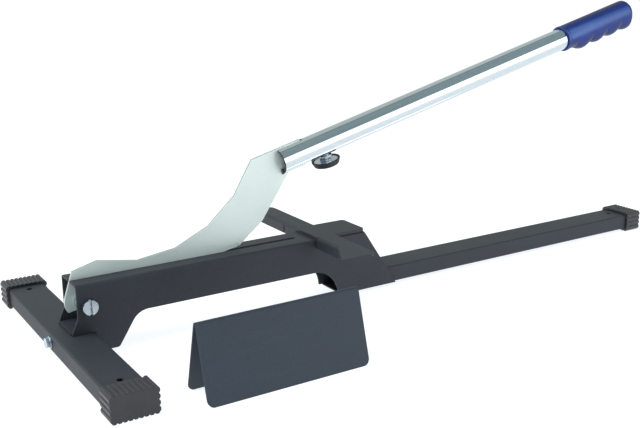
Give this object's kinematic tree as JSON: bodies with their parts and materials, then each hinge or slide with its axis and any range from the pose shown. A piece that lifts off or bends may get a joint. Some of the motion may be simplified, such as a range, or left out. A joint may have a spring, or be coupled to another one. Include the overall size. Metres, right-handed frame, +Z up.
{
  "type": "laminate cutter",
  "caption": "Bench lever cutter for laminate planks: a long lever swings a scooped blade into a slotted channel with a fence, on a T-shaped tube base, with a loose plank support.",
  "frame": {"origin": "on the bench, under the middle of the front cross tube, in the middle plane of the blade", "axes": "+X along the frame from the pivot end to the rear tube's end, +Y across it to the far side, +Z up"},
  "size_m": [0.855, 0.3767, 0.3228],
  "materials": {
    "dark_paint": "fine textured powder coat",
    "support_paint": "fine textured powder coat",
    "cap_plastic": "matt moulded",
    "zinc_plate": "bright zinc plated",
    "blade_steel": "fine ground",
    "lever_plating": "polished plating",
    "grip_vinyl": "satin soft vinyl",
    "pad_rubber": "matt"
  },
  "bodies": {
    "base": {"front_tube": "dark_paint", "near_front_cap": "cap_plastic", "far_front_cap": "cap_plastic", "rear_tube": "dark_paint", "rear_cap": "cap_plastic", "body_channel": "dark_paint", "foot_bracket": "dark_paint", "foot_bolt": "zinc_plate", "foot_washer": "zinc_plate", "foot_nut": "zinc_plate", "fence_plate": "dark_paint", "pivot_bolt": "zinc_plate", "near_spacer": "zinc_plate", "far_spacer": "zinc_plate", "pivot_washer": "zinc_plate", "pivot_nut": "zinc_plate"},
    "lever": {"blade": "blade_steel", "lever_tube": "lever_plating", "lever_grip": "grip_vinyl", "stop_insert": "zinc_plate", "stop_washer": "zinc_plate", "stop_nut": "zinc_plate"},
    "stop_foot": {"stop_stud": "zinc_plate", "stop_plate": "zinc_plate", "stop_pad": "pad_rubber"},
    "support": {"support_plate": "support_paint"}
  },
  "joints": [
    {"name": "lever_swing", "type": "hinge", "parent": "base", "child": "lever", "pos_m": [0.0155, 0, 0.0515], "axis": [0, -1, 0], "range_deg": [-14.3, 60]},
    {"name": "stop_foot_turn", "type": "hinge", "parent": "lever", "child": "stop_foot", "pos_m": [0.30564, 0, 0.18133], "axis": [0.2521, 0, -0.9677], "range_deg": [-180, 180]},
    {"name": "support_slide", "type": "slide", "parent": "base", "child": "support", "axis": [0, 1, 0], "range_m": [-0.1, 0.12]}
  ]
}
